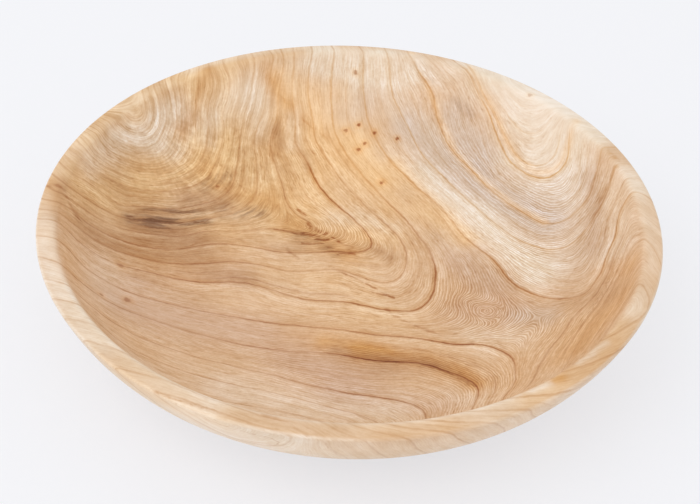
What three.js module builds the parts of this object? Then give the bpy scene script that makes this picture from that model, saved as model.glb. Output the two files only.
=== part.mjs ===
// A shallow wooden bowl, turned in one piece from a single blank on a lathe.
// Millimetres, +Z up. The origin is the centre of the foot, on the surface that the bowl stands on.
import * as THREE from "three";

const degree = Math.PI / 180;

// Overall size, to the rim's edges before they are rounded
const rimDiameter = 310;
const height = 62;

// Rim: a band that falls gently outwards between two rounded edges
const rimWidth = 10;
const rimFall = 1.4;
const innerEdgeRound = 3.2;
const outerEdgeRound = 2.6;

// Outer wall: it leaves the rim leaning inwards and sweeps under to the foot.
// A fullness of 1 takes a wall's handle to the point where its two end directions cross.
const outerLean = 20 * degree;
const outerFullness = 0.9;
const undersideRise = 6 * degree;
const undersideFullness = 0.6;

// Hollow: a leaning wall that turns into a broad, nearly flat floor
const hollowLean = 26 * degree;
const hollowFullness = 0.98;
const floorFullness = 0.7;
const floorThickness = 12;

// Foot: a low standing ring around a shallow dished recess
const footDiameter = 124;
const footHeight = 4;
const footEdgeRound = 1.2;
const footCoveRound = 1.8;
const standingRingWidth = 15;
const recessDepth = 3;

// Fineness of the turned surface
const turnSegments = 80;
const wallSteps = 15;
const roundSteps = 4;
const recessSteps = 5;

const point = (radius, z) => new THREE.Vector2(radius, z);

// The downward direction of a wall that leans inwards from the vertical.
const leaningDown = (lean) => point(-Math.sin(lean), -Math.cos(lean));

// The point a given distance from another along a direction.
const along = (start, direction, distance) => start.clone().addScaledVector(direction, distance);

// A rounded corner that takes the same length off both of its sides.
function roundedCorner(corner, toBefore, toAfter, length) {
  const before = along(corner, toBefore, length);
  const after = along(corner, toAfter, length);
  return new THREE.QuadraticBezierCurve(before, corner, after);
}

// A wall between two points, leaving each end towards the point where the two directions cross.
function wall(start, startDirection, startFullness, end, endDirection, endFullness) {
  const span = end.clone().sub(start);
  const turn = startDirection.cross(endDirection);
  const startReach = span.cross(endDirection) / turn;
  const endReach = span.cross(startDirection) / turn;
  return new THREE.CubicBezierCurve(
    start,
    along(start, startDirection, startReach * startFullness),
    along(end, endDirection, endReach * endFullness),
    end,
  );
}

// Underside: the dished recess, the standing ring and the foot's rounded edge and cove
const footRadius = footDiameter / 2;
const recessRadius = footRadius - standingRingWidth;
const up = point(0, 1);
const inward = point(-1, 0);
const underside = point(Math.cos(undersideRise), Math.sin(undersideRise));
const recess = new THREE.QuadraticBezierCurve(
  point(0, recessDepth),
  point(recessRadius / 2, recessDepth),
  point(recessRadius, 0),
);
const footEdge = roundedCorner(point(footRadius, 0), inward, up, Math.min(footEdgeRound, footHeight / 2));
const footCove = roundedCorner(
  point(footRadius, footHeight),
  up.clone().negate(),
  underside,
  Math.min(footCoveRound, footHeight / 2),
);

// Rim: the sloping band between the hollow's edge and the outer edge
const innerEdge = point(rimDiameter / 2 - rimWidth, height);
const outerEdge = point(rimDiameter / 2, height - rimFall);
const band = outerEdge.clone().sub(innerEdge);
const halfBand = band.length() / 2;
band.normalize();
const outerDown = leaningDown(outerLean);
const hollowDown = leaningDown(hollowLean);
const rimOuter = roundedCorner(outerEdge, outerDown, band.clone().negate(), Math.min(outerEdgeRound, halfBand));
const rimInner = roundedCorner(innerEdge, band, hollowDown, Math.min(innerEdgeRound, halfBand));

// The two walls join the foot to the rim and the rim to the middle of the floor.
const outside = wall(footCove.v2, underside, undersideFullness, rimOuter.v0, outerDown, outerFullness);
const floorCentre = point(0, recessDepth + floorThickness);
const hollow = wall(rimInner.v2, hollowDown, hollowFullness, floorCentre, point(1, 0), floorFullness);

// The turned outline, from the axis under the foot, round the rim and back to the axis on the floor
const outline = [
  ...recess.getPoints(recessSteps),
  ...footEdge.getPoints(roundSteps),
  ...footCove.getPoints(roundSteps),
  ...outside.getPoints(wallSteps).slice(1, -1),
  ...rimOuter.getPoints(roundSteps),
  ...rimInner.getPoints(roundSteps),
  ...hollow.getPoints(wallSteps).slice(1),
];

const bowl = new THREE.Mesh(
  new THREE.LatheGeometry(outline, turnSegments).rotateX(Math.PI / 2),
  new THREE.MeshStandardMaterial({ color: 0xd8b48a, roughness: 0.55, metalness: 0 }),
);
bowl.name = "bowl";

const part = new THREE.Group();
part.name = "wooden_bowl";
part.add(bowl);

export default part;
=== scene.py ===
# Turned bowl of figured hardwood: one blank, a wide hollow, a flat rim with rounded edges, a low foot.
import math
import bpy
import numpy as np
from mathutils import Matrix, Vector


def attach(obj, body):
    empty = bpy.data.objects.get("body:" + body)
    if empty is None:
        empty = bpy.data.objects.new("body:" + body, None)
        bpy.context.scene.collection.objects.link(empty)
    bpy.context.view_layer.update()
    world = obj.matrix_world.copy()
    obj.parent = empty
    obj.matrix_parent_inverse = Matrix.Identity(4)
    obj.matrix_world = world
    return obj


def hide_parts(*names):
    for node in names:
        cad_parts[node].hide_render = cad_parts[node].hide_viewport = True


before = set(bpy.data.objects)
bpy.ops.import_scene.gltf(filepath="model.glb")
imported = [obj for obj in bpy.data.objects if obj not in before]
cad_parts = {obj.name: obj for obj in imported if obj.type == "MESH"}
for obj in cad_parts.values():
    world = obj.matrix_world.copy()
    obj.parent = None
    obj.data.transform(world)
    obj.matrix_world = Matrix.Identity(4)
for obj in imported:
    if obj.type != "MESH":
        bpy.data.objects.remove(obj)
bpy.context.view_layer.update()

mm = 0.001


def onlySelect(piece):
    bpy.ops.object.select_all(action="DESELECT")
    piece.select_set(True)
    bpy.context.view_layer.objects.active = piece


# Camera, looking down into the hollow.
camera = dict(
    elevation=39.684,   # degrees above the table
    roll=2.593,         # the bowl hangs a little to the right
    aim=0.062,          # height of the rim
    distance=0.81901,
    slideRight=0.000408,
    slideUp=0.020115,
    lens=85,
    sensorWidth=36,
)


def makeCamera():
    tilt = math.radians(camera["elevation"])
    roll = math.radians(camera["roll"])
    data = bpy.data.cameras.new("bowlCamera")
    data.lens = camera["lens"]
    data.sensor_width = camera["sensorWidth"]
    data.sensor_fit = "HORIZONTAL"
    eye = bpy.data.objects.new("bowlCamera", data)
    bpy.context.scene.collection.objects.link(eye)
    turn = Matrix.Rotation(math.pi / 2 - tilt, 3, "X") @ Matrix.Rotation(roll, 3, "Z")
    back = turn @ Vector((0, 0, 1))
    side = turn @ Vector((1, 0, 0))
    rise = turn @ Vector((0, 1, 0))
    place = Vector((0, 0, camera["aim"])) + back * camera["distance"]
    eye.location = place - side * camera["slideRight"] - rise * camera["slideUp"]
    eye.rotation_euler = turn.to_euler()
    bpy.context.scene.camera = eye
    print("camera set")


# Bowl shape.
bowl = dict(
    turns=112,          # steps of the spin round the axis
    smoothLevels=2,     # subdivision of the spun skin
    mergeGap=0.00001,   # metres, points nearer than this become one
    footReach=62.5,     # mm, radius where the outer wall leaves the foot
)


# One side of the turned outline, from the middle of the hollow round to the middle of the foot.
def outlineOf(mesh):
    near = {}
    for edge in mesh.edges:
        first, second = edge.vertices
        near.setdefault(first, []).append(second)
        near.setdefault(second, []).append(first)
    ends = [index for index in near if len(near[index]) == 1]
    here = max(ends, key=lambda index: mesh.vertices[index].co.z)
    walk = [here]
    while True:
        ahead = [index for index in near[walk[-1]] if index not in walk[-2:]]
        if not ahead:
            break
        walk.append(ahead[0])
    points = [mesh.vertices[index].co for index in walk]
    return np.array([(math.hypot(point.x, point.y), point.z) for point in points]) / mm


# The outline parted at its widest point: hollow and rim above, outer wall below.
def partOutline(outline):
    widest = int(outline[:, 0].argmax())
    lower = outline[widest:][::-1]
    return dict(upper=outline[:widest + 1], side=lower[lower[:, 0] > bowl["footReach"]])


def makeBowl():
    tiny = bowl["mergeGap"]
    piece = bpy.data.objects.new("turnedBowl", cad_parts["bowl"].data.copy())
    bpy.context.scene.collection.objects.link(piece)
    onlySelect(piece)
    bpy.ops.object.mode_set(mode="EDIT")
    bpy.ops.mesh.select_all(action="SELECT")
    bpy.ops.mesh.remove_doubles(threshold=tiny)
    bpy.ops.mesh.select_all(action="DESELECT")
    bpy.ops.object.mode_set(mode="OBJECT")
    for vertex in piece.data.vertices:  # all but one column of the turned skin goes
        vertex.select = abs(vertex.co.x) > tiny or vertex.co.y > tiny
    bpy.ops.object.mode_set(mode="EDIT")
    bpy.ops.mesh.select_mode(type="VERT")
    bpy.ops.mesh.delete(type="VERT")
    bpy.ops.object.mode_set(mode="OBJECT")
    outline = outlineOf(piece.data)
    bpy.ops.object.mode_set(mode="EDIT")
    bpy.ops.mesh.select_all(action="SELECT")
    bpy.ops.mesh.spin(steps=bowl["turns"], angle=math.tau, center=(0, 0, 0), axis=(0, 0, 1))
    bpy.ops.mesh.select_all(action="SELECT")
    bpy.ops.mesh.remove_doubles(threshold=tiny)
    bpy.ops.mesh.normals_make_consistent(inside=False)
    bpy.ops.object.mode_set(mode="OBJECT")
    smooth = piece.modifiers.new("smooth", "SUBSURF")
    smooth.levels = bowl["smoothLevels"]
    smooth.render_levels = bowl["smoothLevels"]
    bpy.ops.object.modifier_apply(modifier="smooth")
    bpy.ops.object.shade_smooth()
    piece.data.materials.clear()
    print("bowl spun:", len(piece.data.polygons), "faces")
    return piece, partOutline(outline)


def polar(azimuth, radius, height):
    angle = math.radians(azimuth)
    return (radius * math.cos(angle), radius * math.sin(angle), height)


# Places on the skin in mm: by plan point, by azimuth and radius, by azimuth and height.
def hollowPlace(x, y):
    upper = woodSkin["upper"]
    return (x, y, float(np.interp(math.hypot(x, y), upper[:, 0], upper[:, 1])))


def rimPlace(azimuth, radius):
    upper = woodSkin["upper"]
    return polar(azimuth, radius, float(np.interp(radius, upper[:, 0], upper[:, 1])))


def wallPlace(azimuth, height):
    side = woodSkin["side"]
    return polar(azimuth, float(np.interp(height, side[:, 1], side[:, 0])), height)


# Brush strokes on the skin: reach in mm, amount, then the places along the stroke.
def hollow(reach, amount, *marks):
    return dict(reach=reach, amount=amount, marks=marks, place=hollowPlace)


def rim(reach, amount, *marks):
    return dict(reach=reach, amount=amount, marks=marks, place=rimPlace)


def wall(reach, amount, *marks):
    return dict(reach=reach, amount=amount, marks=marks, place=wallPlace)


# Marks at one radius or height, from one azimuth towards another.
def arc(level, start, stop, step):
    return [(azimuth, level) for azimuth in range(start, stop, step)]


# Growth rings, numbered outwards from the heart. Paths are plan points on the hollow, in mm.
growthLines = [
    dict(ring=-6.3, bold=0.32, path=[(-122, 91)]),
    dict(ring=-3, bold=0.32, path=[(-109.5, 93.5), (-109, 87), (-111.5, 79.5), (-125.5, 70.5)]),
    dict(ring=0, bold=0.32, path=[
        (-101.6, 102), (-99, 92), (-101, 84), (-105.7, 74.5), (-119, 64.5), (-130, 59.5)]),
    dict(ring=3, bold=0.32, path=[
        (-94, 109), (-92, 97), (-92, 87), (-95, 77), (-99.5, 69.5), (-107, 63), (-117, 57.5),
        (-134.7, 51)]),
    dict(ring=4, bold=0.32, path=[
        (-87, 112), (-86.5, 88.5), (-89.5, 78), (-95, 69.5), (-104, 62), (-115, 55.8), (-136.4, 47)]),
    dict(ring=5, bold=0.6, path=[
        (-79, 118), (-80, 103), (-81, 90), (-84, 79), (-91, 70), (-101, 61.5), (-113, 54),
        (-126, 48.5), (-138, 43.5)]),
    dict(ring=6, bold=0.6, path=[
        (-72, 123), (-74, 108), (-75, 83), (-79, 71), (-87, 62), (-98, 54.5), (-110, 48.5),
        (-124, 43), (-139, 37)]),
    dict(ring=7, bold=0.6, path=[
        (-57, 132), (-62, 107), (-63.5, 93), (-66, 68), (-72, 58), (-83, 50), (-95, 43),
        (-118, 32), (-141, 24)]),
    dict(ring=8, bold=0.6, path=[
        (-47, 137), (-50, 120), (-55, 106), (-53.5, 92), (-51, 70), (-54, 60), (-60, 52),
        (-70, 46), (-83, 40), (-105, 31), (-125, 22), (-142, 14)]),
    dict(ring=9, bold=0.6, path=[
        (-42, 140), (-44, 125), (-46, 110), (-46, 98), (-43, 88), (-37, 68), (-27, 51), (-21, 40),
        (-24, 37.5), (-40, 40.3), (-48, 39.5), (-62, 35), (-86, 26), (-95, 24), (-115, 19),
        (-125, 15), (-143, 7)]),
    dict(ring=10, bold=1.0, path=[
        (-36, 140), (-33, 118), (-27, 98), (-24, 91), (-16, 74), (-11, 67), (1, 53), (10, 39.5),
        (12, 34), (11, 29), (7, 25.5), (2, 24), (-12, 24), (-32, 22.3), (-42, 22.5), (-60, 25),
        (-72, 24), (-83, 19), (-97, 13), (-103, 11.5), (-115, 9), (-130, 6), (-142, 2)]),
    dict(ring=11, bold=0.8, path=[
        (-26, 147), (-26.5, 128), (-22, 109), (-14, 96), (-2, 77), (10, 60.5), (25, 41), (28.5, 33),
        (30.3, 18), (29, 11), (26, 5.5), (22, 2.5), (17, 1.6), (-6, 10.8), (-30, 7), (-50, 11.6),
        (-58, 11.3), (-72, 8), (-88, 3.8), (-97, 2.5), (-118, 0), (-140, -6)]),
    dict(ring=12, bold=1.0, path=[
        (-15, 149), (-13.5, 143), (-13.5, 125), (-9, 110), (3, 90), (18, 69), (31, 50), (36, 41),
        (43.5, 22), (45.5, 13), (45, 6), (38.5, -15), (36, -18.5), (32, -20), (26, -19.8),
        (5, -15.8), (-20, -15), (-28, -12), (-48, -5.2), (-60, -4), (-75, -7), (-85, -7.5),
        (-103, -7), (-118, -9.8), (-140, -13)]),
    # upper right, towards the sapwood
    dict(ring=13, bold=1.0, path=[
        (2, 149), (5, 131), (15, 107), (28, 88.5), (35, 80), (48, 64), (54, 54), (66, 33), (76, 20),
        (83, 4), (93, -8), (99, -12.5), (112, -17), (118, -18.5), (122, -17.5), (128, -7),
        (135, 10), (142, 26), (145, 28)]),
    dict(ring=14, bold=0.8, path=[
        (17, 146), (20, 133), (30, 117), (43, 95), (57, 76), (63, 68), (75, 52), (88, 36),
        (95, 29.5), (107, 22.5), (112, 22.5), (118, 25), (127, 34), (138, 51)]),
    dict(ring=15, bold=0.9, path=[
        (28, 150), (40, 133), (46, 119), (54, 103), (65, 88), (71, 79.5), (85, 62), (92, 54),
        (103, 42.5), (110, 40.5), (117, 41.5), (122, 44), (125, 47.5), (131, 64)]),
    dict(ring=16, bold=1.3, path=[
        (54, 144), (60, 135), (74, 114), (81, 98), (88, 84), (98, 73.5), (108, 70), (113, 71.5),
        (116, 75), (120, 85)]),
    # lower left, across the floor
    dict(ring=13, bold=1.0, path=[
        (-153, -27), (-146, -30), (-130, -28), (-110, -28), (-100, -28), (-80, -29), (-70, -30),
        (-50, -32), (-30, -34.3), (-10, -35.3), (10, -38.5), (30, -39.5), (54, -44.5), (65, -44),
        (76, -51), (82.5, -59), (81.5, -73), (74, -97)]),
    dict(ring=14, bold=1.0, path=[
        (-137, -48), (-130, -44.5), (-122, -43), (-100, -43.3), (-90, -44.3), (-70, -48), (-60, -50),
        (-40, -53.4), (-30, -54), (-10, -53.6), (0, -55), (20, -58.3), (36, -58.8), (43, -61),
        (50, -66), (64, -80), (64.2, -87), (61, -100)]),
    dict(ring=15, bold=0.8, path=[
        (-131, -64), (-126, -61.5), (-108, -61), (-98, -62.7), (-75, -66), (-62, -68), (-40, -72),
        (-20, -78), (0, -83.3), (20, -87), (30, -90.7), (36, -95), (39.5, -100), (39, -106)]),
    dict(ring=16, bold=0.6, path=[
        (-112, -77), (-103, -79), (-90, -80), (-77, -81.5), (-52, -84.5), (-33, -87.5), (-22, -90.5),
        (-3, -97), (17, -109.5)]),
    # lower right, between the two
    dict(ring=12.6, bold=0.5, path=[
        (88, -87), (96, -64), (107, -46), (122, -25), (127, -16), (133, -2), (140, 14)]),
    dict(ring=12.2, bold=0.4, path=[
        (105, -65), (111, -51), (117, -41), (126, -28), (134, -14), (141, 0)]),
    dict(ring=11.6, bold=0.4, path=[(118, -66), (128, -48), (133, -40), (143, -20)]),
]

# Where a ring crosses the rim: radius on the rim, then (azimuth in degrees, ring).
rimMarks = [
    dict(radius=145.2, marks=[
        (304, 12.6), (300, 13), (296, 13.5), (291.5, 14), (287, 14.5), (282, 15.2), (277, 16),
        (271, 17), (262, 18.7), (252, 18.8), (245, 18.8), (236, 18.7)]),
    dict(radius=145.2, marks=[
        (309.5, 12.3), (312.5, 12), (316.5, 11.7), (320.5, 11.3), (324, 11), (328, 10.7), (339, 10.8),
        (346, 11.3), (351.5, 11.8), (358.5, 12.3), (1, 12.5), (5.5, 12.8), (10.8, 13), (16.5, 13.5),
        (20, 14), (26, 15), (37, 16), (47, 17.2), (57, 17)]),
    dict(radius=145.2, marks=[
        (160, 4.2), (163, 5.2), (166, 6.2), (171, 7), (174.5, 8), (178, 9), (181, 10), (184, 11),
        (186.5, 12), (192, 13), (199.5, 14), (206, 15)]),
    dict(radius=148.5, marks=[
        (68.5, 16), (79, 15), (84, 14), (89.5, 13), (95.3, 12), (99.8, 11), (104.3, 10), (106.7, 9),
        (109, 8), (113.5, 7), (120.3, 6), (123.8, 5), (126, 4), (128, 3), (134.5, 0), (139.5, -3),
        (145, -5), (150.5, -3), (155, 0), (158, 3), (236, 19), (258.5, 19), (334, 10.6)]),
    dict(radius=151.8, marks=[(244, 20), (248.5, 20)]),
    dict(radius=153.2, marks=[
        (307, 13), (304, 13.5), (300.5, 14), (297, 14.5), (291.5, 15.2), (286, 16), (279, 17),
        (267, 19), (258, 20), (239, 20), (230, 19)]),
    dict(radius=153.2, marks=[
        (334, 10.95), (343, 11.3), (347, 11.8), (355, 12.3), (358.5, 12.6), (8.5, 13), (322, 12),
        (330, 11.4)]),
    dict(radius=153.2, marks=[
        (158.5, 4.2), (161.5, 5.2), (164.5, 6.2), (168.5, 7), (172, 8), (175.8, 9), (179.7, 10),
        (183.2, 11), (185.6, 12), (190.6, 13), (196.8, 14), (203, 15), (208.6, 16), (215.5, 17.2)]),
]

# On the outer wall: azimuth, height, ring.
wallMarks = [
    (250, 52, 20.6), (259.5, 46, 20), (247, 46, 20), (254, 41, 20), (283.5, 46, 17), (291.5, 46, 16),
    (298, 46, 15.2), (302, 46, 14.5), (270, 46, 19), (268, 54, 19), (235, 50, 19),
]

# Small ripples in the rings, where the figure swirls.
ripples = [
    dict(place=(60, -12), lift=0.16, reach=6.5),
    dict(place=(69, -19), lift=0.24, reach=6.0),
]

# How the figure lies over the wood.
figure = dict(
    stiffness=400.0,        # how freely a ring may pass beside its marks
    batch=8000,             # points worked out at a time
    gapLimits=(1.5, 400),   # mm from ring to ring
    markSpread=30,          # square mm, how softly the marks' boldness blends
    rimBold=0.6,
    wallBold=0.55,
    rimStart=141,           # mm, radius where the hollow turns into the rim
    rimBlend=5,             # mm
    wallStart=0.35,         # how far a face looks outwards where the outer wall starts
    wallBlend=0.4,
    underside=-0.05,        # how far a face looks down where the underside starts
    rimCalm=0.6,            # share of the grain that rim and outside lose
    banding=0.29,           # levels all over, before the strokes
    shimmer=0.25,
    hatching=0.22,
)


# A smooth field through the marked rings, so that the figure runs through the wood as in the blank.
def solveGrowth(places, rings):
    count = len(places)
    gaps = np.linalg.norm(places[:, None] - places[None], axis=-1)
    plane = np.c_[np.ones(count), places]
    system = np.zeros((count + 4, count + 4))
    system[:count, :count] = gaps ** 3 + figure["stiffness"] * np.eye(count)
    system[:count, count:] = plane
    system[count:, :count] = plane.T
    solved = np.linalg.solve(system, np.r_[rings, np.zeros(4)])
    return dict(places=places, pull=solved[:count], level=solved[count], slope=solved[count + 1:])


def batches(count):
    return [slice(start, start + figure["batch"]) for start in range(0, count, figure["batch"])]


# Ring number at each point, and its climb per mm.
def growthAt(field, points):
    ring = np.empty(len(points))
    climb = np.empty((len(points), 3))
    for part in batches(len(points)):
        away = points[part, None] - field["places"][None]
        far = np.linalg.norm(away, axis=-1)
        ring[part] = far ** 3 @ field["pull"] + field["level"] + points[part] @ field["slope"]
        climb[part] = 3 * np.einsum("ij,ijk->ik", far * field["pull"], away) + field["slope"]
    for ripple in ripples:
        away = points - np.array(hollowPlace(*ripple["place"]))
        swell = ripple["lift"] * np.exp(-(away ** 2).sum(1) / ripple["reach"] ** 2)
        ring += swell
        climb -= (2 * swell / ripple["reach"] ** 2)[:, None] * away
    return ring, climb


def setAttribute(mesh, name, values):
    layer = mesh.attributes.new(name, "FLOAT", "POINT")
    layer.data.foreach_set("value", np.asarray(values, dtype=np.float32))


# Tones of the oiled wood, as seen (red, green, blue out of 255).
woodTones = dict(
    tan=(222, 185, 147),
    rosy=(210, 173, 144),
    gold=(232, 193, 141),
    honey=(237, 197, 148),
    cream=(241, 225, 206),
    greyed=(214, 193, 175),
    amber=(210, 154, 88),
    umber=(176, 128, 87),
    smoke=(142, 106, 80),
    apricot=(241, 199, 145),
)

# Where each tone lies: in the hollow, then on the rim, then on the outer wall.
toneStrokes = dict(
    rosy=[
        hollow(20, 0.8, (-110, -38), (-80, -36), (-40, -42), (-20, -60), (0, -72)),
        hollow(13, 0.7, (60, 18), (75, -5), (85, -22), (60, -18)),
        hollow(10, 0.5, (-105, -14), (-80, 0), (-58, 2)),
        hollow(14, 0.6, (0, -85), (45, -95)),
    ],
    gold=[
        # partly painted light: the gold over the upper left of the hollow is the wood's golden tone, laid
        # paler to make up for the lamp's shade on that wall
        hollow(34, 0.9, (-125, 62), (-105, 92), (-70, 118), (-40, 125)),
        hollow(24, 0.8, (-85, 85), (-55, 70), (-30, 55)),
        hollow(22, 0.6, (-140, 20), (-120, 40)),
    ],
    honey=[
        hollow(18, 1.0, (-18, 128), (-5, 105), (10, 85)),
        hollow(12, 0.8, (-34, 112), (-22, 92), (-22, 62), (0, 45)),
        hollow(9, 0.6, (38, 62), (60, 42)),
        hollow(10, 0.6, (20, 62), (22, 42), (10, 40)),
        hollow(10, 0.4, (-40, 5), (-5, 2), (10, -5)),
        hollow(10, 0.2, (-60, -18), (-30, -24), (18, -22)),
        hollow(8, 0.4, (-80, 36), (-62, 34)),
    ],
    cream=[
        hollow(11, 0.95, (40, 88), (62, 62), (82, 35), (98, 8)),
        hollow(24, 1.0, (96, 104), (112, 86)),
        hollow(14, 0.4, (82, 124), (98, 106), (112, 88)),
        hollow(10, 0.9, (-20, 142), (10, 141), (30, 141)),
        hollow(10, 0.5, (24, 129), (42, 108)),
        hollow(12, 0.5, (-124, 62), (-104, 86), (-84, 104), (-62, 120), (-44, 126)),
        hollow(9, 0.7, (-106, 90), (-100, 98)),
        hollow(5, 0.4, (-35, 121), (-34, 112), (-33, 104)),
        hollow(5, 0.4, (-79, 104), (-80, 93)),
        hollow(8, 0.55, (-136, 38), (-127, 62), (-120, 71), (-98, 79)),
        hollow(10, 0.35, (140, 0), (139, 20), (134, 45)),
        hollow(8, 0.25, (136, -46), (140, -36)),
        hollow(10, 0.65, (14, 143), (46, 134)),
        hollow(11, 0.3, (-17, 136), (-12, 130), (2, 130)),
        hollow(17, 0.35, (66, 94), (90, 70), (104, 42), (108, 12)),
        hollow(7, 0.3, (16, -18), (26, -20)),
        hollow(12, 0.25, (-124, -58), (-104, -82), (-92, -98)),
        hollow(7, 0.25, (76, 66), (84, 58), (94, 54)),
        hollow(6, 0.4, (78, 91), (93, 84)),
        hollow(14, 0.35, (132, 0), (130, 20), (124, 42), (120, 62), (104, 80)),
        hollow(9, 0.55, (0, 138), (20, 137)),
        hollow(10, 0.8, (62, 138), (80, 130)),
        hollow(8, 0.4, (58, 123), (66, 124)),
        hollow(12, 0.2, (124, 38), (120, 60)),
        hollow(9, 0.35, (16, 102), (24, 98)),
        hollow(8, 0.45, (-50, 133), (-36, 138), (-20, 141)),
        hollow(8, 0.4, (-60, 126), (-52, 108)),
        hollow(16, 0.4, (-50, -90), (-20, -98), (20, -100)),
        hollow(12, 0.3, (78, 62), (100, 60), (118, 62)),
        hollow(12, 0.2, (-122, -18), (-120, -42)),
        hollow(9, 0.2, (52, -84), (60, -92)),
        hollow(10, 0.35, (64, -36), (72, -42), (84, -38)),
        hollow(8, 0.6, (98, 62), (108, 54)),
        hollow(8, 0.4, (22, 46), (4, 52), (-8, 52)),
    ],
    greyed=[
        hollow(11, 0.9, (30, 118), (45, 102), (62, 84), (85, 64), (102, 44)),
        hollow(10, 0.8, (55, 118), (70, 95)),
        hollow(8, 0.6, (88, -24), (100, -28)),
        hollow(11, 0.25, (50, 38), (62, 18), (72, 2)),
        hollow(14, 0.3, (126, 0), (122, 20), (116, 42), (112, 62)),
        hollow(10, 0.4, (-4, 122), (6, 129)),
        hollow(17, 0.25, (70, 96), (90, 74), (104, 45), (112, 10)),
    ],
    amber=[
        hollow(5, 0.35, (-47, 130), (-42, 118), (-44, 98)),
        hollow(4.5, 0.45, (-51, 133), (-45, 129), (-38, 124)),
        hollow(3.5, 0.3, (-37, 124), (-24, 115), (-14, 110), (-3, 96), (13, 79)),
        hollow(13, 0.2, (-104, 34), (-102, 4), (-78, 0), (-62, 18)),
        hollow(12, 0.15, (-112, 2), (-92, -2)),
        hollow(11, 0.25, (-24, -41), (4, -42)),
        hollow(9, 0.65, (-30, 44), (-16, 34), (-2, 24)),
        hollow(6, 0.5, (-10, -46), (4, -49), (18, -52)),
        hollow(7, 0.9, (10, -52), (40, -57), (56, -68), (62, -76)),
        hollow(11, 0.6, (-76, 74), (-60, 62), (-44, 62)),
        hollow(4.5, 0.4, (-83, 122), (-85, 115), (-87, 108), (-90, 98), (-94, 91)),
        hollow(9, 0.15, (82, -66), (82, -90)),
        hollow(16, 0.5, (110, -66), (118, -54), (135, -40)),
        hollow(14, 0.25, (-136, -40), (-118, -62), (-100, -74)),
        hollow(8, 0.3, (126, -6), (138, -18)),
    ],
    umber=[
        hollow(16, 0.46, (-130, 2), (-116, 8), (-98, 12), (-82, 18)),
        hollow(14, 0.34, (-126, 44), (-118, 40), (-96, 34)),
        hollow(4.5, 0.55, (-4, -52), (10, -55), (36, -57), (48, -63), (60, -75)),
        hollow(11, 0.3, (110, -18), (122, -26), (132, -34)),
        hollow(10, 0.66, (-85, 55), (-70, 57)),
        hollow(10, 0.32, (-110, 26), (-90, 35), (-80, 30)),
        hollow(4, 0.4, (-44, 112), (-41, 102)),
        hollow(4, 0.3, (-27, 98), (-25, 90)),
        hollow(6, 0.35, (-38, 24), (-27, 28)),
        hollow(10, 0.2, (-48, 0), (-34, 2)),
        hollow(8, 0.25, (77, 6), (82, -2)),
        hollow(8, 0.2, (-26, -62), (20, -62)),
        hollow(7, 0.32, (18, -63), (42, -63)),
        hollow(12, 0.26, (-62, 104), (-60, 80)),
        hollow(5, 0.25, (-89, 100), (-92, 94)),
        hollow(7, 0.3, (-70, 2), (-52, -2)),
        hollow(8, 0.38, (125, 56), (127, 31), (126, 14)),
        hollow(5, 0.6, (15, 27), (22, 22)),
    ],
    smoke=[
        hollow(3.6, 0.65, (-115, 26), (-103, 31), (-88, 36), (-77, 40)),
        hollow(3, 0.3, (-107, 36), (-96, 42), (-84, 45)),
        hollow(10, 0.36, (-100, 32), (-88, 40), (-82, 45)),
        hollow(5.5, 0.45, (-67, 50), (-50, 52)),
        hollow(5, 0.3, (-28, 36), (-18, 33), (-8, 24)),
        hollow(5, 0.1, (66, 76), (82, 58), (92, 50)),
        hollow(4, 0.15, (34, 139), (41, 134)),
        hollow(3, 0.3, (56, 124), (64, 117)),
        hollow(3, 0.2, (68, 91), (75, 82)),
        hollow(5, 0.3, (-79, 66), (-74, 72), (-68, 75)),
    ],
    apricot=[
        hollow(2.4, 0.42, (63, 135), (77, 113), (84, 98), (91, 85), (99, 76), (107, 72.5), (112, 74),
               (115, 79), (119, 88)),
        hollow(1.9, 0.45, (30, 148), (41, 131), (48, 117), (56, 101), (66, 87), (86, 61), (103, 43)),
        hollow(6, 0.5, (23, 95), (36, 76), (50, 57), (62, 37)),
        hollow(9, 0.5, (-2, 112), (6, 102), (16, 84)),
        hollow(6, 0.5, (-44, 133), (-38, 124)),
        hollow(10, 0.15, (4, 18), (20, 24), (20, 40)),
        hollow(10, 0.25, (14, -22), (26, -24)),
        hollow(9, 0.2, (-84, 38), (-72, 38)),
    ],
)

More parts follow.
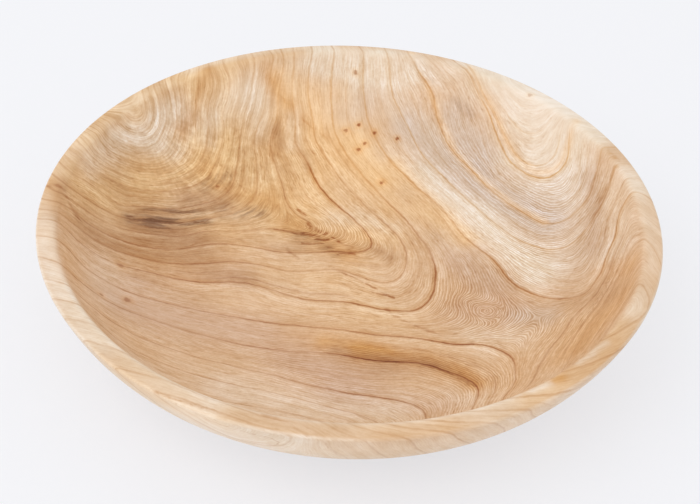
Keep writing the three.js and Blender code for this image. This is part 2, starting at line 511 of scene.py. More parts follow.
rimStrokes = dict(
    gold=[
        rim(8, 0.3, *arc(149, 222, 336, 8)),
    ],
    cream=[
        rim(9, 0.45, *arc(149, 187, 250, 6)),
        rim(6, 0.35, *arc(151, 194, 228, 6)),
        rim(9, 0.22, (249, 149), (256, 149), (270, 149), (284, 149)),
        rim(9, 0.45, (292, 149), (298, 149)),
        rim(9, 0.3, *arc(149, 336, 374, 6)),
        rim(7, 0.3, (334, 148), (340, 148)),
        rim(7, 0.45, (12, 151), (18, 151)),
        rim(6, 0.4, *arc(152, 97, 128, 6)),
        # painted highlight: a thin pale line along the rounded inner edge of the near rim
        rim(2.4, 0.5, *arc(144.6, 206, 306, 4)),
        rim(9, 0.8, *arc(149, 31, 58, 6)),
        rim(9, 0.2, (136, 149), (146, 149)),
        rim(6, 0.15, *arc(152, 156, 188, 6)),
        rim(2.2, 0.6, (304.4, 146.3), (308.5, 147.2)),
        rim(2.2, 0.6, (316, 145.8), (319.4, 147.2)),
        rim(2.2, 0.6, (320.6, 146), (323.7, 147.4)),
    ],
    amber=[
        rim(5, 0.5, (175, 152), (178, 145), (184, 143)),
        rim(4, 0.28, *arc(147, 102, 134, 8)),
        rim(7, 0.24, *arc(149, 314, 328, 5)),
        rim(7, 0.22, (73, 149), (80, 149)),
        rim(3, 0.8, (309.6, 147.3), (311, 147.8)),
        rim(6, 0.2, (277, 153), (284, 153), (291, 153)),
    ],
    umber=[
        rim(7, 0.16, (254, 148), (262, 149), (270, 149)),
        rim(5, 0.08, *arc(152, 226, 300, 8)),
        rim(5, 0.25, (175, 145), (180, 145), (185, 145)),
        rim(6, 0.26, (164, 146), (171, 147), (177, 145)),
        rim(6, 0.2, (143, 146), (148, 146), (152, 146)),
        rim(6, 0.1, *arc(153, 196, 230, 6)),
        rim(8, 0.12, (314, 150), (322, 150), (330, 150)),
    ],
)

# The outside is pale all the way round: pale sapwood, with painted light standing in for light bounced up
# from the table.
wallStrokes = dict(
    cream=[
        # painted light: the whole outer wall made paler, as if lit from the table below, over the pale
        # sapwood
        wall(26, 0.95, *arc(40, 0, 361, 20)),
        # painted highlight: a narrow pale band along the rounded outer edge of the near rim
        wall(6, 0.4, (244, 56), (250, 56), (256, 56), (264, 56)),
    ],
    amber=[
        wall(12, 0.08, (222, 50), (230, 50)),
        wall(18, 0.24, *arc(48, 274, 306, 6)),
    ],
    apricot=[
        wall(20, 0.12, *arc(44, 236, 306, 6)),
        wall(7, 0.3, (226, 58), (232, 57), (238, 56), (244, 56), (250, 57)),
    ],
)

# Where fine light and dark bands run beside the rings.
bandStrokes = [
    hollow(30, 0.8, (-125, 62), (-108, 90), (-85, 108)),
    hollow(30, 0.55, (-60, 110), (-60, 60), (-120, 20)),
    hollow(16, 0.35, (125, -50), (132, -10), (130, 40)),
]

# Where the figure shimmers in small blotches.
shimmerStrokes = [
    hollow(36, 1.0, (-110, 75), (-75, 85), (-45, 90)),
    hollow(26, 0.8, (-60, 50), (-20, 40), (15, 30)),
]

# Where the ring lines are golden instead of brown.
goldStrokes = [
    hollow(38, 1.0, (20, 130), (60, 90), (100, 60), (105, 25)),
    hollow(30, 0.7, (80, 125), (120, 90)),
    hollow(32, 0.5, (-120, 80), (-85, 105), (-50, 110)),
    hollow(22, 0.7, (-45, 132), (-20, 130), (0, 118), (8, 100)),
    rim(14, 0.4, *arc(149, 186, 352, 8)),
    rim(12, 0.6, *arc(150, -8, 60, 8)),
]

# Where single ring lines are darker or fainter than the rest.
boldStrokes = [
    hollow(7, 0.5, (0, -55), (30, -58), (50, -66), (63, -80)),
    hollow(6, 0.7, (45, -43), (60, -45), (78, -53)),
    hollow(7, 0.7, (76, 20), (84, 3), (96, -11), (106, -15)),
    hollow(6, 0.9, (-22, 86), (-12, 69), (-4, 59)),
    hollow(6, 0.5, (44, 18), (44, 0), (38, -16)),
    hollow(7, 0.5, (-20, -15), (0, -16), (20, -18)),
    hollow(7, 0.4, (0, -83), (20, -87), (37, -96)),
    hollow(8, 0.4, (122, 44), (127, 53), (131, 64)),
    hollow(10, -1.0, (84, 124), (98, 112), (114, 97), (122, 92)),
    hollow(8, 0.4, (122, -17), (135, 10), (142, 26)),
    hollow(7, -0.22, (-121, 91), (-114, 94)),
    rim(7, -0.3, *arc(150, 14, 50, 6)),
]

# Lines between the rings: ring number, then the stretch where it shows.
sideLines = [
    (11.8, hollow(9, 0.8, (-72, 3), (-45, -3), (-25, -10), (-5, -15))),
    (11.7, hollow(8, 0.6, (-22, 115), (-9, 101), (11, 77))),
    (12.85, hollow(8, 0.7, (44, 55), (58, 41), (64, 35))),
    (12.5, hollow(8, 0.5, (-5, 134), (4, 110))),
    (13.35, hollow(8, 0.7, (104, -11), (114, -1), (126, 16), (138, 40))),
    (12.6, hollow(8, 1.0, (88, -87), (96, -64), (107, -46), (122, -25), (133, -2), (140, 14))),
    (12.2, hollow(6, 0.9, (105, -65), (117, -41), (134, -14), (141, 0))),
    (11.6, hollow(6, 0.8, (118, -66), (133, -40), (143, -20))),
    (16.15, hollow(8, 1.2, (63, 135), (81, 105), (91, 85), (99, 76), (107, 73), (115, 79))),
]

# How clearly the fine lines show.
hatchStrokes = [
    hollow(18, 0.9, (58, -12), (70, -20), (76, -26)),
    hollow(14, 0.4, (84, -32), (100, -38)),
    hollow(18, 0.5, (88, 12), (105, 25), (106, 55)),
    hollow(16, 0.3, (60, 95), (80, 70), (92, 40)),
    hollow(14, 0.25, (-22, 42), (-8, 42), (6, 40)),
    hollow(9, -0.25, (-121, 91), (-113, 95)),
    hollow(18, -0.2, (84, 120), (98, 104), (110, 88)),
    hollow(22, 0.35, (-20, -65), (30, -72), (60, -88)),
    hollow(10, 0.4, (-15, 36), (4, 34)),
    hollow(9, 0.4, (10, -50), (40, -54), (62, -68), (74, -72)),
]

# Where the grain is faint.
calmStrokes = [
    hollow(18, 0.55, (84, 120), (98, 104), (110, 88)),
    hollow(16, 0.3, (-110, -38), (-60, -40), (-30, -46)),
    hollow(16, 0.3, (-6, 112), (14, 84), (34, 60)),
    hollow(22, 0.4, (-66, 120), (-40, 124), (-10, 128), (12, 122)),
]

# Single dark streaks, where the reach is half their width.
penLines = [
    hollow(1.3, 0.8, (-8, 11), (4, 4.5), (15, -4), (24, -10)),
    hollow(1.0, 0.6, (3, -1), (14, -6.5), (20, -8)),
    hollow(1.1, 0.5, (0, -55), (20, -58.3), (36, -58.8), (43, -61), (50, -66), (63, -79)),
    hollow(2.0, 0.9, (49, -43.8), (56, -44.6), (63, -44.2)),
    hollow(1.6, 0.4, (20, -19), (24, -24), (36, -31), (50, -40)),
    hollow(1.8, 0.5, (-33, 25), (-26, 18)),
    hollow(1.8, 0.95, (-28, 57), (-23, 50), (-22, 43)),
    hollow(2.2, 0.95, (-25, 38), (-17, 36.5)),
    hollow(1.3, 0.7, (-40, 40), (-31, 38.5), (-25, 38)),
    hollow(1.2, 0.9, (-21, 44.5), (-12, 39)),
    hollow(1.2, 0.9, (-19, 42), (-13, 38)),
    hollow(1.4, 1.0, (-18, 34), (-11, 33.5)),
    hollow(1.2, 0.8, (-25, 30), (-14, 31)),
    hollow(1.3, 0.8, (-9, 36), (-2, 30), (1, 29)),
    hollow(1.2, 0.7, (-11, 28), (0, 27)),
    hollow(1.7, 0.8, (-5, 24), (3, 23.5)),
    hollow(1.2, 0.7, (-8.5, 25), (-6, 22.5)),
    hollow(1.1, 0.5, (-116, 27), (-105, 32), (-92, 35), (-77, 40)),
    hollow(1.0, 0.45, (-115, 25), (-102, 30), (-85, 36), (-74, 43)),
    hollow(1.0, 0.35, (-107, 36), (-96, 42), (-84, 45)),
    hollow(1.0, 0.3, (-112, 23), (-97, 29), (-82, 34)),
    hollow(2.2, 0.35, (-45, 110), (-47, 102), (-46, 96), (-41, 86)),
    hollow(1.2, 0.5, (-44, 127), (-39, 124)),
    hollow(1.0, 0.4, (-51, 131), (-50, 125)),
    hollow(1.2, 0.45, (-30, 119), (-26, 117)),
    hollow(1.2, 0.45, (-24, 102), (-21, 99)),
    hollow(1.0, 0.4, (-63, 100), (-63, 88)),
    hollow(2.6, 0.5, (136, 49), (133, 44), (130, 38), (126, 32)),
    hollow(2.4, 0.5, (134, 60), (138, 54)),
    hollow(1.2, 0.6, (127, -18), (129, -19)),
    hollow(1.5, 0.35, (17, 27), (20, 23), (18, 19)),
    hollow(1.0, 0.3, (31, 11), (39, 5.5)),
    hollow(1.6, 0.4, (122, 44), (126, 50), (127, 56)),
    hollow(1.6, 0.35, (131, 57), (134, 64)),
    hollow(1.2, 0.4, (117, 14), (122, 22), (127, 33), (131, 45)),
    hollow(1.2, 0.35, (112, -2), (118, 8)),
    hollow(1.2, 0.35, (-30, 119), (-15, 110)),
    rim(1.0, 0.45, (237, 154), (241, 153.4), (244.8, 152.2), (250.4, 151.8)),
    rim(2.4, 0.4, (257, 147), (260.8, 148.3)),
    rim(1.2, 0.4, (260.8, 148.3), (262.9, 151.2), (265.1, 153.7)),
    wall(1.0, 0.4, (267.3, 58), (269.7, 43)),
    wall(0.9, 0.35, (247, 56), (253, 55), (258.5, 54), (260, 51), (259, 46), (253, 44)),
    hollow(3.0, 0.75, (-151, 11.5), (-146, 9.5), (-142, 7), (-136, 2)),
    hollow(1.0, 0.35, (-80, 87), (-77, 79), (-72, 73), (-66, 64)),
    hollow(1.0, 0.35, (-73, 83), (-64, 74), (-56, 66)),
    hollow(1.0, 0.4, (-54, 108), (-52, 96), (-50, 80), (-50, 65)),
]

# Single pale streaks, in the same way; the last one, on the near rim's outer edge, is a painted
# highlight.
paleStreaksAndHighlight = [
    hollow(1.3, 0.7, (-57, 134), (-57, 126), (-59, 118), (-62, 108), (-63, 99)),
    hollow(1.2, 0.6, (-46, 135), (-45, 126), (-40, 116), (-36, 99)),
    hollow(1.0, 0.5, (-70, 127), (-71, 118), (-74, 108)),
    # painted highlight: a thin pale line along the rounded outer edge of the near rim
    rim(1.2, 0.8, (258, 154), (265, 154), (272, 154.2)),
]

# Flecks of the rays, which cross the rings on the side of the heart.
rayFlecks = dict(
    heart=(-117, 87),   # plan point
    distance=45,        # mm from the heart, where the flecks have their width
    wide=3.6,           # mm
    long=9.0,           # mm
    strokes=[
        hollow(15, 1.0, (-98, 80), (-89, 78), (-78, 64), (-92, 62)),
        hollow(14, 0.3, (-84, 100), (-69, 104)),
        hollow(16, 0.5, (-60, 90), (-54, 74)),
    ],
)

# Pin knots: plan point, radius in mm, how dark.
pinKnots = [
    (2, 119, 1.1, 0.9), (11, 115, 1.3, 0.9), (24, 111.5, 1.2, 0.9), (-1, 139.5, 1.3, 0.7),
    (6, 108.5, 1.3, 0.8), (2.5, 104.5, 1.3, 0.8), (16, 82, 1.4, 0.8), (-5, 115.5, 1.2, 0.7),
    (-73, 67, 1.2, 0.6), (-108, -34.5, 1.8, 0.6), (-119.5, -41, 1.5, 0.5), (-115, -9.5, 1.8, 0.5),
    (95, 111, 1.2, 0.4),
]


# Wood finish. A tint is what a full mark leaves of the colour.
woodLook = dict(
    lineTints=((0.61, 0.40, 0.25), (0.84, 0.66, 0.42)),     # brown, golden
    lateTints=((0.87, 0.73, 0.56), (0.96, 0.85, 0.67)),
    creamTint=(1.09, 1.14, 1.22),
    hatchTints=((0.86, 0.75, 0.64), (1.15, 1.25, 1.36)),    # dark, light
    cloudTints=((1.03, 1.05, 1.08), (0.96, 0.94, 0.90)),    # light, dark
    broadTints=((1.10, 1.165, 1.24), (0.895, 0.835, 0.755)),
    blotchTints=((1.05, 1.07, 1.10), (0.95, 0.925, 0.89)),
    grainTints=((1.04, 1.07, 1.12), (0.96, 0.925, 0.87)),
    dashTints=((1.06, 1.10, 1.15), (0.94, 0.89, 0.83)),
    speckTints=((1.025, 1.035, 1.05), (0.975, 0.965, 0.95)),
    fleckTints=((0.95, 0.93, 0.905), (1.10, 1.15, 1.20)),
    poreTint=(0.74, 0.62, 0.50),
    paleTint=(1.12, 1.19, 1.28),
    knotTint=(0.46, 0.23, 0.11),
    haloTint=(0.98, 0.83, 0.63),
    lineWidth=0.95,             # mm, the dark edge of a ring
    lateWidth=4.5,              # mm, darkening before the edge
    creamWidth=9.0,             # mm, pale start of the next ring
    sideWidth=1.3,              # mm, lines between the rings
    hatchGap=1.3,               # mm between the fine lines
    ringCovers=dict(Cream=0.45, Late=0.5, Line=0.72),
    ringSteps=((0.5, 0.25), (0.0, 1.0)),    # how far along the ring, how strong
    sideCover=0.5,
    poreCover=0.6,
    sway=(60, 3, 2.0),          # noise scale, detail and size in mm
    jag=(350, 2, 0.8),
    hatchSway=(160, 2, 5.0),    # in radians
    grains=dict(                # noise scale, detail and share of the fine lines' number
        broad=(11, 3, 0.3),
        long=(70, 3, 0.7),
        short=(230, 1, 1.6),
    ),
    clouds=(26, 4, 0.35, 0.65),     # noise scale and detail, then where the mask starts and is full
    blotches=(150, 3, 0.36, 0.64),
    specks=(800, 1, 0.35, 0.65),
    patches=(35, 2, 0.3, 0.7),
    patchRange=(0.55, 1.2),         # how boldness comes and goes along a ring
    broadFade=(0.4, 0.6),           # where each mask of the grain starts and is full
    longFade=(0.32, 0.68),
    dashFade=(0.34, 0.66),
    poreFade=(0.62, 0.74),
    hatchFade=(-0.6, 1.0),
    fleckFade=(0.4, 0.66),
    breakFade=(0.38, 0.62, 0.15, 1.5),      # streaks lie broken in the grain
    ragScale=260,
    ragSize=3.0,                    # mm, how far streaks and knots are ragged
    knotSizes=(0.4, 1.3, 3.5),      # dark middle, its edge and the halo, in knot radii
    roughFade=(0.3, 0.7, 0.44, 0.58),
    gloss=0.3,
    bumpStrength=0.15,
    bumpDepth=0.4,                  # mm
    poreDepth=-0.4,
)


# Screen colour to linear light.
def linear(colour):
    shares = [value / 255 for value in colour]
    return tuple(s / 12.92 if s <= 0.04045 else ((s + 0.055) / 1.055) ** 2.4 for s in shares) + (1,)


def put(tree, socket, value):
    if isinstance(value, bpy.types.NodeSocket):
        tree.links.new(value, socket)
    else:
        socket.default_value = value


def calc(tree, operation, first, second=0.0, third=0.0):
    step = tree.nodes.new("ShaderNodeMath")
    step.operation = operation
    for socket, value in zip(step.inputs, (first, second, third)):
        put(tree, socket, value)
    return step.outputs[0]


def vectorCalc(tree, operation, first, second):
    step = tree.nodes.new("ShaderNodeVectorMath")
    step.operation = operation
    put(tree, step.inputs[0], first)
    put(tree, step.inputs[1], second)
    return step


def times(tree, *values):
    result = values[0]
    for value in values[1:]:
        result = calc(tree, "MULTIPLY", result, value)
    return result


def fade(tree, value, low, high, atLow=0.0, atHigh=1.0):
    step = tree.nodes.new("ShaderNodeMapRange")
    step.interpolation_type = "SMOOTHSTEP"
    for socket, given in zip(step.inputs, (value, low, high, atLow, atHigh)):
        put(tree, socket, given)
    return step.outputs[0]


def blend(tree, amount, under, over, mode="MIX"):
    step = tree.nodes.new("ShaderNodeMix")
    step.data_type = "RGBA"
    step.blend_type = mode
    put(tree, step.inputs[0], amount)
    put(tree, step.inputs[6], under)
    put(tree, step.inputs[7], over if isinstance(over, bpy.types.NodeSocket) else tuple(over[:3]) + (1,))
    return step.outputs[2]


# Tints a colour from the first tint to the second as the mask rises.
def shadeBy(tree, colour, mask, tints, amount=1.0):
    tint = blend(tree, mask, tuple(tints[0]) + (1,), tints[1])
    return blend(tree, amount, colour, tint, "MULTIPLY")


def between(tree, share, first, second):
    step = tree.nodes.new("ShaderNodeMix")
    for index, value in ((0, share), (2, first), (3, second)):
        put(tree, step.inputs[index], value)
    return step.outputs[0]


def grainNoise(tree, where, scale, detail=2.0, fourth=None):
    step = tree.nodes.new("ShaderNodeTexNoise")
    step.noise_dimensions = "3D" if fourth is None else "4D"
    tree.links.new(where, step.inputs["Vector"])
    step.inputs["Scale"].default_value = scale
    step.inputs["Detail"].default_value = detail
    if fourth is not None:
        tree.links.new(calc(tree, "DIVIDE", fourth, scale), step.inputs["W"])
    return step.outputs[0]


def readAttribute(tree, name):
    step = tree.nodes.new("ShaderNodeAttribute")
    step.attribute_name = name
    return step.outputs["Fac"]


# Ring profile, in shares of the gap between rings.
ringShape = dict(
    lateMost=0.55,
    lineMost=0.25,
    creamMost=0.5,
    creamStart=0.3,     # share of the pale start over which it rises
    creamGain=1.4,
    lateFall=1.5,       # power of the darkening
)


# Dark edge, darkening before it and pale start after it, for every whole ring number.
def makeRingGroup():
    group = bpy.data.node_groups.new("ringEdges", "ShaderNodeTree")
    for name in ("Growth", "Gap", "Late Width", "Line Width", "Cream Width"):
        group.interface.new_socket(name, in_out="INPUT", socket_type="NodeSocketFloat")
    for name in ("Late", "Line", "Cream"):
        group.interface.new_socket(name, in_out="OUTPUT", socket_type="NodeSocketFloat")
    given = group.nodes.new("NodeGroupInput").outputs
    result = group.nodes.new("NodeGroupOutput").inputs
    part = calc(group, "FRACT", given["Growth"])
    above = calc(group, "MULTIPLY", part, given["Gap"])
    below = calc(group, "SUBTRACT", given["Gap"], above)
    reaches = {}
    for name, most in (("Late", "lateMost"), ("Cream", "creamMost"), ("Line", "lineMost")):
        widest = calc(group, "MULTIPLY", given["Gap"], ringShape[most])
        reaches[name] = calc(group, "MINIMUM", given[name + " Width"], widest)
    late = fade(group, below, 0.0, reaches["Late"], 1.0, 0.0)
    edge = calc(group, "MINIMUM", above, below)
    cream = fade(group, above, 0.0, reaches["Cream"], 1.0, 0.0)
    start = fade(group, above, 0.0, calc(group, "MULTIPLY", reaches["Cream"], ringShape["creamStart"]))
    group.links.new(calc(group, "POWER", late, ringShape["lateFall"]), result["Late"])
    group.links.new(fade(group, edge, 0.0, reaches["Line"], 1.0, 0.0), result["Line"])
    group.links.new(times(group, cream, start, ringShape["creamGain"]), result["Cream"])
    return group


# A thin streak from one point to another.
def makeStreakGroup():
    group = bpy.data.node_groups.new("darkStreak", "ShaderNodeTree")
    for name, kind in (("Place", "Vector"), ("Start", "Vector"), ("Along", "Vector"), ("Width", "Float")):
        group.interface.new_socket(name, in_out="INPUT", socket_type="NodeSocket" + kind)
    group.interface.new_socket("Streak", in_out="OUTPUT", socket_type="NodeSocketFloat")
    given = group.nodes.new("NodeGroupInput").outputs
    result = group.nodes.new("NodeGroupOutput").inputs
    offset = vectorCalc(group, "SUBTRACT", given["Place"], given["Start"]).outputs[0]
    dot = vectorCalc(group, "DOT_PRODUCT", offset, given["Along"]).outputs["Value"]
    length = vectorCalc(group, "DOT_PRODUCT", given["Along"], given["Along"]).outputs["Value"]
    share = calc(group, "MINIMUM", calc(group, "MAXIMUM", calc(group, "DIVIDE", dot, length), 0.0), 1.0)
    foot = group.nodes.new("ShaderNodeVectorMath")
    foot.operation = "SCALE"
    group.links.new(given["Along"], foot.inputs[0])
    group.links.new(share, foot.inputs["Scale"])
    away = vectorCalc(group, "DISTANCE", offset, foot.outputs[0]).outputs["Value"]
    group.links.new(fade(group, away, 0.0, given["Width"], 1.0, 0.0), result["Streak"])
    return group


# Noise as a mask, from its scale and detail and where the mask starts and is full.
def noiseMask(tree, where, noise, atLow=0.0, atHigh=1.0):
    scale, detail, low, high = noise
    return fade(tree, grainNoise(tree, where, scale, detail), low, high, atLow, atHigh)


# Noise that pushes to both sides.
def sways(tree, where, noise):
    scale, detail, size = noise
    return times(tree, calc(tree, "SUBTRACT", grainNoise(tree, where, scale, detail), 0.5), size)


# Fine lines and three grains along the rings, at one spacing all over.
def layGrain(tree, where, ring, gap):
    octave = calc(tree, "LOGARITHM", calc(tree, "DIVIDE", gap, woodLook["hatchGap"]), 2.0)
    lowOctave = calc(tree, "FLOOR", octave)
    share = fade(tree, calc(tree, "FRACT", octave), 0.0, 1.0)
    swing = sways(tree, where, woodLook["hatchSway"])
    layers = dict(hatch=[], broad=[], long=[], short=[])
    for extra in (0.0, 1.0):    # this spacing and the next finer one
        many = calc(tree, "POWER", 2.0, calc(tree, "ADD", lowOctave, extra))
        count = calc(tree, "MULTIPLY", ring, many)
        wave = calc(tree, "SINE", calc(tree, "MULTIPLY_ADD", count, math.tau, swing))
        layers["hatch"].append(wave)
        for name, (scale, detail, part) in woodLook["grains"].items():
            layers[name].append(grainNoise(tree, where, scale, detail, times(tree, count, part)))
    return {name: between(tree, share, *pair) for name, pair in layers.items()}


def paintTones(tree, breakUp):
    colour = linear(woodTones["tan"])
    for tone in toneStrokes:
        amount = readAttribute(tree, tone)
        if tone == "smoke":     # lies in the grain, in broken streaks
            amount = times(tree, amount, breakUp)
        colour = blend(tree, amount, colour, linear(woodTones[tone]))
    return colour


# Ray flecks, long towards the heart.
def drawFlecks(tree, where, colour):
    heart = [value * mm for value in hollowPlace(*rayFlecks["heart"])]
    outward = tree.nodes.new("ShaderNodeSeparateXYZ")
    tree.links.new(vectorCalc(tree, "SUBTRACT", where, heart).outputs[0], outward.inputs[0])
    far = vectorCalc(tree, "DISTANCE", where, heart).outputs["Value"]
    angle = calc(tree, "ARCTAN2", outward.outputs[1], outward.outputs[0])
    spoke = tree.nodes.new("ShaderNodeCombineXYZ")
    put(tree, spoke.inputs[0], calc(tree, "MULTIPLY", angle, rayFlecks["distance"] / rayFlecks["wide"]))
    put(tree, spoke.inputs[1], calc(tree, "DIVIDE", far, rayFlecks["long"] * mm))
    fleck = fade(tree, grainNoise(tree, spoke.outputs[0], 1.0, 2), *woodLook["fleckFade"])
    return shadeBy(tree, colour, fleck, woodLook["fleckTints"], readAttribute(tree, "flecks"))


# Ring edges and faint half rings, then the lines between them.
def drawRings(tree, where, colour, ring, gap, depth, tints):
    edges = makeRingGroup()
    patch = noiseMask(tree, where, woodLook["patches"], *woodLook["patchRange"])
    strength = calc(tree, "MULTIPLY", readAttribute(tree, "boldness"), patch)
    for offset, weight in woodLook["ringSteps"]:
        step = tree.nodes.new("ShaderNodeGroup")
        step.node_tree = edges
        put(tree, step.inputs["Growth"], calc(tree, "ADD", ring, offset))
        put(tree, step.inputs["Gap"], gap)
        step.inputs["Late Width"].default_value = woodLook["lateWidth"]
        step.inputs["Line Width"].default_value = woodLook["lineWidth"]
        step.inputs["Cream Width"].default_value = woodLook["creamWidth"]
        amount = calc(tree, "MULTIPLY", strength, weight)
        for mask, part in woodLook["ringCovers"].items():
            cover = times(tree, step.outputs[mask], amount, part)
            if mask != "Line":      # rim and outside keep only thin lines
                cover = times(tree, cover, depth)
            colour = blend(tree, cover, colour, tints[mask], "MULTIPLY")
    away = calc(tree, "ABSOLUTE", calc(tree, "SUBTRACT", ring, readAttribute(tree, "sideRing")))
    side = fade(tree, calc(tree, "MULTIPLY", away, gap), 0.0, woodLook["sideWidth"], 1.0, 0.0)
    cover = times(tree, side, readAttribute(tree, "sideBold"), woodLook["sideCover"])
    return blend(tree, cover, colour, tints["Line"], "MULTIPLY")


# Single streaks, each a chain of straight pieces.
def drawStreaks(tree, place, colour, streaks, tint, breakUp, group):
    for streak in streaks:
        path = [Vector(point) * mm for point in strokePath(streak)]
        mark = 0.0
        for first, second in zip(path, path[1:]):
            step = tree.nodes.new("ShaderNodeGroup")
            step.node_tree = group
            tree.links.new(place, step.inputs["Place"])
            step.inputs["Start"].default_value = first
            step.inputs["Along"].default_value = second - first
            step.inputs["Width"].default_value = streak["reach"] * mm
            mark = calc(tree, "MAXIMUM", mark, step.outputs[0])
        mark = times(tree, mark, breakUp, streak["amount"])
        colour = blend(tree, mark, colour, tint, "MULTIPLY")
    return colour


def drawKnots(tree, place, colour):
    middleSize, edgeSize, haloSize = woodLook["knotSizes"]
    for x, y, radius, dark in pinKnots:
        middle = [value * mm for value in hollowPlace(x, y)]
        away = vectorCalc(tree, "DISTANCE", place, middle).outputs["Value"]
        halo = fade(tree, away, 0.0, radius * haloSize * mm, dark, 0.0)
        colour = blend(tree, halo, colour, woodLook["haloTint"], "MULTIPLY")
        knot = fade(tree, away, radius * middleSize * mm, radius * edgeSize * mm, dark, 0.0)
        colour = blend(tree, knot, colour, woodLook["knotTint"], "MULTIPLY")
    return colour


def makeWood():
    material = bpy.data.materials.new("oiledWood")
    material.use_nodes = True
    tree = material.node_tree
    shader = tree.nodes["Principled BSDF"]
    where = tree.nodes.new("ShaderNodeTexCoord").outputs["Object"]
    growth = readAttribute(tree, "growth")
    gap = readAttribute(tree, "ringGap")
    depth = readAttribute(tree, "grainDepth")
    golden = readAttribute(tree, "golden")
    tints = dict(Cream=woodLook["creamTint"])
    for mask, name in (("Late", "lateTints"), ("Line", "lineTints")):
        brownTint, goldTint = woodLook[name]
        tints[mask] = blend(tree, golden, brownTint + (1,), goldTint)

    # the rings waver a little
    shift = calc(tree, "ADD", sways(tree, where, woodLook["sway"]), sways(tree, where, woodLook["jag"]))
    ring = calc(tree, "ADD", growth, calc(tree, "DIVIDE", shift, gap))
    grain = layGrain(tree, where, ring, gap)
    breakUp = fade(tree, grain["long"], *woodLook["breakFade"])

    # tones and cloudy figure
    colour = paintTones(tree, breakUp)
    cloud = noiseMask(tree, where, woodLook["clouds"])
    colour = shadeBy(tree, colour, cloud, woodLook["cloudTints"])
    broad = fade(tree, grain["broad"], *woodLook["broadFade"])
    colour = shadeBy(tree, colour, broad, woodLook["broadTints"], readAttribute(tree, "banding"))
    blotch = noiseMask(tree, where, woodLook["blotches"])
    colour = shadeBy(tree, colour, blotch, woodLook["blotchTints"], readAttribute(tree, "shimmer"))
    colour = drawFlecks(tree, where, colour)
    colour = drawRings(tree, where, colour, ring, gap, depth, tints)

    # grain, pores and fine lines
    long = fade(tree, grain["long"], *woodLook["longFade"])
    colour = shadeBy(tree, colour, long, woodLook["grainTints"], depth)
    speck = noiseMask(tree, where, woodLook["specks"])
    colour = shadeBy(tree, colour, speck, woodLook["speckTints"], depth)
    dash = fade(tree, grain["short"], *woodLook["dashFade"])
    colour = shadeBy(tree, colour, dash, woodLook["dashTints"], depth)
    pore = fade(tree, grain["short"], *woodLook["poreFade"])
    cover = times(tree, pore, woodLook["poreCover"], depth)
    colour = blend(tree, cover, colour, woodLook["poreTint"], "MULTIPLY")
    hatch = fade(tree, grain["hatch"], *woodLook["hatchFade"])
    colour = shadeBy(tree, colour, hatch, woodLook["hatchTints"], readAttribute(tree, "hatching"))

    # streaks and pin knots, a little ragged
    ragged = tree.nodes.new("ShaderNodeTexNoise")
    tree.links.new(where, ragged.inputs["Vector"])
    ragged.inputs["Scale"].default_value = woodLook["ragScale"]
    push = vectorCalc(tree, "SUBTRACT", ragged.outputs["Color"], (0.5, 0.5, 0.5)).outputs[0]
    push = vectorCalc(tree, "MULTIPLY", push, (woodLook["ragSize"] * mm,) * 3).outputs[0]
    place = vectorCalc(tree, "ADD", where, push).outputs[0]
    streak = makeStreakGroup()
    colour = drawStreaks(tree, place, colour, penLines, tints["Line"], breakUp, streak)
    colour = drawStreaks(tree, place, colour, paleStreaksAndHighlight, woodLook["paleTint"], breakUp, streak)
    colour = drawKnots(tree, place, colour)

    # oiled finish
    tree.links.new(colour, shader.inputs["Base Color"])
    rough = fade(tree, grain["long"], *woodLook["roughFade"])
    tree.links.new(rough, shader.inputs["Roughness"])
    shader.inputs["Specular IOR Level"].default_value = woodLook["gloss"]
    bump = tree.nodes.new("ShaderNodeBump")
    bump.inputs["Strength"].default_value = woodLook["bumpStrength"]
    bump.inputs["Distance"].default_value = woodLook["bumpDepth"] * mm
    relief = calc(tree, "ADD", grain["long"], times(tree, pore, woodLook["poreDepth"]))
    tree.links.new(relief, bump.inputs["Height"])
    tree.links.new(bump.outputs[0], shader.inputs["Normal"])
    print("wood material made:", len(tree.nodes), "nodes")
    return material


def strokePath(stroke):
    return [stroke["place"](*mark) for mark in stroke["marks"]]


# Soft brush: full on the stroke, fading over its reach.
def brush(points, stroke):
    path = np.array(strokePath(stroke))
    nearest = np.full(len(points), np.inf)
    for first, second in zip(path, path[1:]):
        along = second - first
        share = np.clip((points - first) @ along / (along @ along), 0, 1)
        nearest = np.minimum(nearest, np.linalg.norm(points - first - share[:, None] * along, axis=1))
    return np.exp(-(nearest / stroke["reach"]) ** 2)


def brushed(points, strokes, start=0.0):
    total = np.full(len(points), start)
    for stroke in strokes:
        total += stroke["amount"] * brush(points, stroke)
    return total


def brushedShare(points, strokes, start=0.0):
    return np.clip(brushed(points, strokes, start), 0, 1)


# Every ring mark: its place, its ring and how bold it is.
def gatherMarks():
    marks = []
    for line in growthLines:
        marks += [(hollowPlace(x, y), line["ring"], line["bold"]) for x, y in line["path"]]
    for row in rimMarks:
        for azimuth, ring in row["marks"]:
            marks.append((rimPlace(azimuth, row["radius"]), ring, figure["rimBold"]))
    for azimuth, height, ring in wallMarks:
        marks.append((wallPlace(azimuth, height), ring, figure["wallBold"]))
    return [np.array(column) for column in zip(*marks)]


# How bold the lines are: from the nearest marks, then the darker stretches.
def boldnessAt(points, places, strengths):
    bold = np.empty(len(points))
    for part in batches(len(points)):
        apart = ((points[part, None] - places[None]) ** 2).sum(-1)
        near = 1 / (apart + figure["markSpread"]) ** 2
        bold[part] = near @ strengths / near.sum(1)
    return np.maximum(bold + brushed(points, boldStrokes), 0)


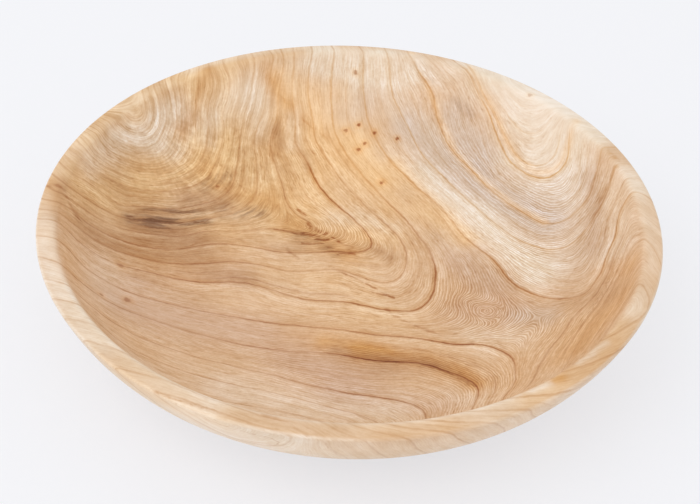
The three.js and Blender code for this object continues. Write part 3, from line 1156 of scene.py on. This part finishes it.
def dressBowl(piece):
    mesh = piece.data
    count = len(mesh.vertices)
    points = np.empty(count * 3)
    normals = np.empty(count * 3)
    mesh.vertices.foreach_get("co", points)
    mesh.vertex_normals.foreach_get("vector", normals)
    points = points.reshape(-1, 3) / mm
    normals = normals.reshape(-1, 3)

    # rings, and the gap between them along the skin
    places, rings, strengths = gatherMarks()
    ring, climb = growthAt(solveGrowth(places, rings), points)
    climb -= normals * np.einsum("ij,ij->i", climb, normals)[:, None]
    gap = np.clip(1 / np.maximum(np.linalg.norm(climb, axis=1), 1e-6), *figure["gapLimits"])
    setAttribute(mesh, "growth", ring)
    setAttribute(mesh, "ringGap", gap)
    setAttribute(mesh, "boldness", boldnessAt(points, places, strengths))

    # rim and outside are calmer than the hollow
    radius = np.hypot(points[:, 0], points[:, 1])
    facing = (points[:, :2] * normals[:, :2]).sum(1) / np.maximum(radius, 1)
    below = normals[:, 2] < figure["underside"]
    outside = np.maximum(np.clip((radius - figure["rimStart"]) / figure["rimBlend"], 0, 1), below)
    outerWall = np.maximum(np.clip((facing - figure["wallStart"]) / figure["wallBlend"], 0, 1), below)
    depth = (1 - figure["rimCalm"] * outside) * (1 - brushedShare(points, calmStrokes))
    setAttribute(mesh, "grainDepth", depth)
    setAttribute(mesh, "banding", brushedShare(points, bandStrokes, figure["banding"]))
    setAttribute(mesh, "shimmer", brushedShare(points, shimmerStrokes, figure["shimmer"]))
    setAttribute(mesh, "flecks", brushedShare(points, rayFlecks["strokes"]))
    setAttribute(mesh, "golden", brushedShare(points, goldStrokes))
    setAttribute(mesh, "hatching", depth * brushedShare(points, hatchStrokes, figure["hatching"]))

    # the strongest of the lines between the rings
    sideRing = np.zeros(count)
    sideBold = np.zeros(count)
    for number, stroke in sideLines:
        shows = stroke["amount"] * brush(points, stroke)
        stronger = shows > sideBold
        sideRing[stronger] = number
        sideBold[stronger] = shows[stronger]
    setAttribute(mesh, "sideRing", sideRing)
    setAttribute(mesh, "sideBold", sideBold)

    for tone, strokes in toneStrokes.items():
        painted = brushed(points, strokes)
        painted += outside * brushed(points, rimStrokes.get(tone, []))
        painted += outerWall * brushed(points, wallStrokes.get(tone, []))
        setAttribute(mesh, tone, np.clip(painted, 0, 1))
    print("growth rings laid:", round(float(ring.min()), 1), "to", round(float(ring.max()), 1))


# Table and light.
studio = dict(
    tableSize=8,                # metres
    tableColour=(243, 243, 246),
    tableSeen=(245, 246, 250),  # how the lit paper looks
    tableShadow=0.3,            # how much of the shadow stays on it
    tableRoughness=0.9,
    skyStrength=0.85,
    lampPower=14.0,
    lampSize=2.0,
    lampPlace=(-1.2, -1.0, 1.8),
)


def makeStudio():
    bpy.ops.object.select_all(action="DESELECT")
    bpy.ops.mesh.primitive_plane_add(size=studio["tableSize"], location=(0, 0, 0))
    floor = bpy.context.object
    floor.name = "table"
    paper = bpy.data.materials.new("paleTable")
    paper.use_nodes = True
    tree = paper.node_tree
    shader = tree.nodes["Principled BSDF"]
    shader.inputs["Base Color"].default_value = linear(studio["tableColour"])
    shader.inputs["Roughness"].default_value = studio["tableRoughness"]
    shader.inputs["Specular IOR Level"].default_value = 0.0
    glow = tree.nodes.new("ShaderNodeEmission")
    glow.inputs["Color"].default_value = linear(studio["tableSeen"])
    rays = tree.nodes.new("ShaderNodeLightPath").outputs
    seen = calc(tree, "MAXIMUM", rays["Is Camera Ray"], rays["Is Glossy Ray"])
    seen = calc(tree, "MAXIMUM", seen, rays["Is Transmission Ray"])
    mixed = tree.nodes.new("ShaderNodeMixShader")
    tree.links.new(calc(tree, "MULTIPLY", seen, 1 - studio["tableShadow"]), mixed.inputs[0])
    tree.links.new(shader.outputs[0], mixed.inputs[1])
    tree.links.new(glow.outputs[0], mixed.inputs[2])
    tree.links.new(mixed.outputs[0], tree.nodes["Material Output"].inputs["Surface"])
    floor.data.materials.append(paper)

    world = bpy.data.worlds.new("softRoom")
    world.use_nodes = True
    sky = world.node_tree.nodes["Background"]
    sky.inputs["Color"].default_value = (1, 1, 1, 1)
    sky.inputs["Strength"].default_value = studio["skyStrength"]
    bpy.context.scene.world = world

    data = bpy.data.lights.new("softBox", "AREA")
    data.shape = "DISK"
    data.size = studio["lampSize"]
    data.energy = studio["lampPower"]
    lamp = bpy.data.objects.new("softBox", data)
    bpy.context.scene.collection.objects.link(lamp)
    lamp.location = studio["lampPlace"]
    lamp.rotation_euler = (-Vector(studio["lampPlace"])).to_track_quat("-Z", "Y").to_euler()
    bpy.context.scene.view_settings.view_transform = "Standard"
    print("table and light set")


makeCamera()
bowlPiece, woodSkin = makeBowl()
dressBowl(bowlPiece)
bowlPiece.data.materials.append(makeWood())
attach(bowlPiece, "root")
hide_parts("bowl")
makeStudio()
